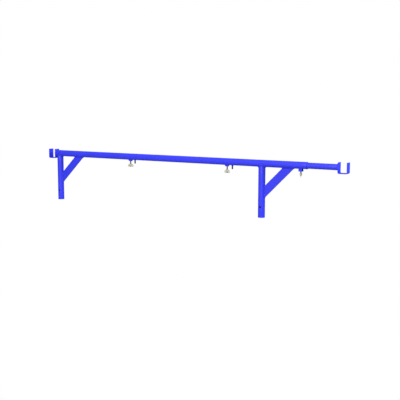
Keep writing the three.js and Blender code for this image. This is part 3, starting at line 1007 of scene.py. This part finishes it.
# What the surroundings shine with: white to the eye, and softly on the object, more from above.
BACKDROP = 1.0
SHINE_ABOVE = (0.25, 0.40, 0.46)
SHINE_BELOW = (0.20, 0.27, 0.32)
REFLECTED = 0.6  # of that shine, in the object's reflections
FLOOR_DROP = 0.25  # below the feet, since the rack that holds the bar up isn't here
FLOOR_SIZE = 60.0


def make_world():
    world = bpy.data.worlds.new("studio")
    world.use_nodes = True
    nodes = world.node_tree.nodes
    links = world.node_tree.links

    def mixed(factor, low, high):
        node = nodes.new("ShaderNodeMixRGB")
        links.new(factor, node.inputs["Fac"])
        for socket, colour in ((node.inputs["Color1"], low), (node.inputs["Color2"], high)):
            if isinstance(colour, tuple):
                socket.default_value = (*colour, 1)
            else:
                links.new(colour, socket)
        return node.outputs["Color"]

    parts = nodes.new("ShaderNodeSeparateXYZ")
    links.new(nodes.new("ShaderNodeTexCoord").outputs["Generated"], parts.inputs["Vector"])
    height = nodes.new("ShaderNodeMapRange")
    height.inputs["From Min"].default_value = -1
    links.new(parts.outputs["Z"], height.inputs["Value"])
    shine = mixed(height.outputs["Result"], SHINE_BELOW, SHINE_ABOVE)
    dim = nodes.new("ShaderNodeMath")
    dim.operation = "MULTIPLY"
    path = nodes.new("ShaderNodeLightPath")
    links.new(path.outputs["Is Glossy Ray"], dim.inputs[0])
    dim.inputs[1].default_value = 1 - REFLECTED
    shine = mixed(dim.outputs["Value"], shine, (0.0, 0.0, 0.0))
    shine = mixed(path.outputs["Is Camera Ray"], shine, (BACKDROP, BACKDROP, BACKDROP))
    links.new(shine, nodes["Background"].inputs["Color"])
    bpy.context.scene.world = world
    bpy.context.scene.view_settings.view_transform = "Standard"


def make_floor():
    """A wide white sweep below the feet, lit evenly from within so that no shadow falls on it.

    It shows only from above, so that it doesn't hide the object's underside.
    """
    low, _ = cad_box
    half = FLOOR_SIZE / 2
    corners = [(-half, -half), (half, -half), (half, half), (-half, half)]
    surface = Surface()
    surface.cap([(x, y, low[2] - FLOOR_DROP) for x, y in corners])
    floor = new_piece("floor", surface.mesh("floor"))
    material = bpy.data.materials.new("white_sweep")
    material.use_nodes = True
    shader = material.node_tree.nodes["Principled BSDF"]
    shader.inputs["Base Color"].default_value = (0, 0, 0, 1)
    shader.inputs["Specular IOR Level"].default_value = 0
    shader.inputs["Emission Color"].default_value = (1, 1, 1, 1)
    shader.inputs["Emission Strength"].default_value = BACKDROP
    nodes = material.node_tree.nodes
    links = material.node_tree.links
    sides = nodes.new("ShaderNodeMixShader")
    links.new(nodes.new("ShaderNodeNewGeometry").outputs["Backfacing"], sides.inputs["Fac"])
    links.new(shader.outputs["BSDF"], sides.inputs[1])
    links.new(nodes.new("ShaderNodeBsdfTransparent").outputs["BSDF"], sides.inputs[2])
    links.new(sides.outputs["Shader"], nodes["Material Output"].inputs["Surface"])
    floor.data.materials.append(material)
    floor.visible_diffuse = False
    floor.visible_glossy = False
    floor.visible_shadow = False


def make_light(name, place, size, watts, colour, aim_x=0.0, mirrored=False):
    """A soft lamp that shines at the bar's axis. Only a mirrored one shows in the paint's gloss."""
    data = bpy.data.lights.new(name, "AREA")
    data.shape = "DISK"
    data.size = size
    data.energy = watts
    data.color = colour
    light = bpy.data.objects.new(name, data)
    light.location = place
    direction = Vector((aim_x, 0, BAR_HEIGHT)) - Vector(place)
    light.rotation_euler = direction.to_track_quat("-Z", "Y").to_euler()
    light.visible_camera = False
    light.visible_glossy = mirrored
    bpy.context.scene.collection.objects.link(light)


def make_studio():
    make_camera()
    make_world()
    make_floor()
    make_light("key", (1.6, -3.8, 2.3), size=5.0, watts=174, colour=(1.0, 0.86, 1.0), mirrored=True)
    make_light("end_light", (3.9, 0.3, 2.9), size=1.4, watts=190, colour=(0.8, 1.0, 1.0), aim_x=1.1)
    make_light("back_light", (-1.8, 3.8, 1.4), size=3.0, watts=95, colour=(0.9, 1.0, 1.0))
    make_light("low_light", (-0.4, -2.6, -1.2), size=3.0, watts=22, colour=(0.8, 1.0, 1.0))


# The object


def make_object():
    make_bar()
    make_extension_tube()
    for side in ("left", "right"):
        make_leg(side)
        make_leg_weld(side)
        Brace(side).make()
        make_saddle(side)
    make_saddle_weld("left", "main_bar", bar_low.x - GAP, 1, SADDLE_WELD)
    right_low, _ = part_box("right_saddle")
    make_saddle_weld("right", "extension_tube", right_low.x, -1, RIGHT_SADDLE_WELD)
    for accessory in ("accessory_1", "accessory_2"):
        make_nut(accessory)
        make_pin(accessory)
    make_cage()
    for screw in SCREWS:
        make_stem(screw)
        make_head(screw)


make_studio()
make_object()
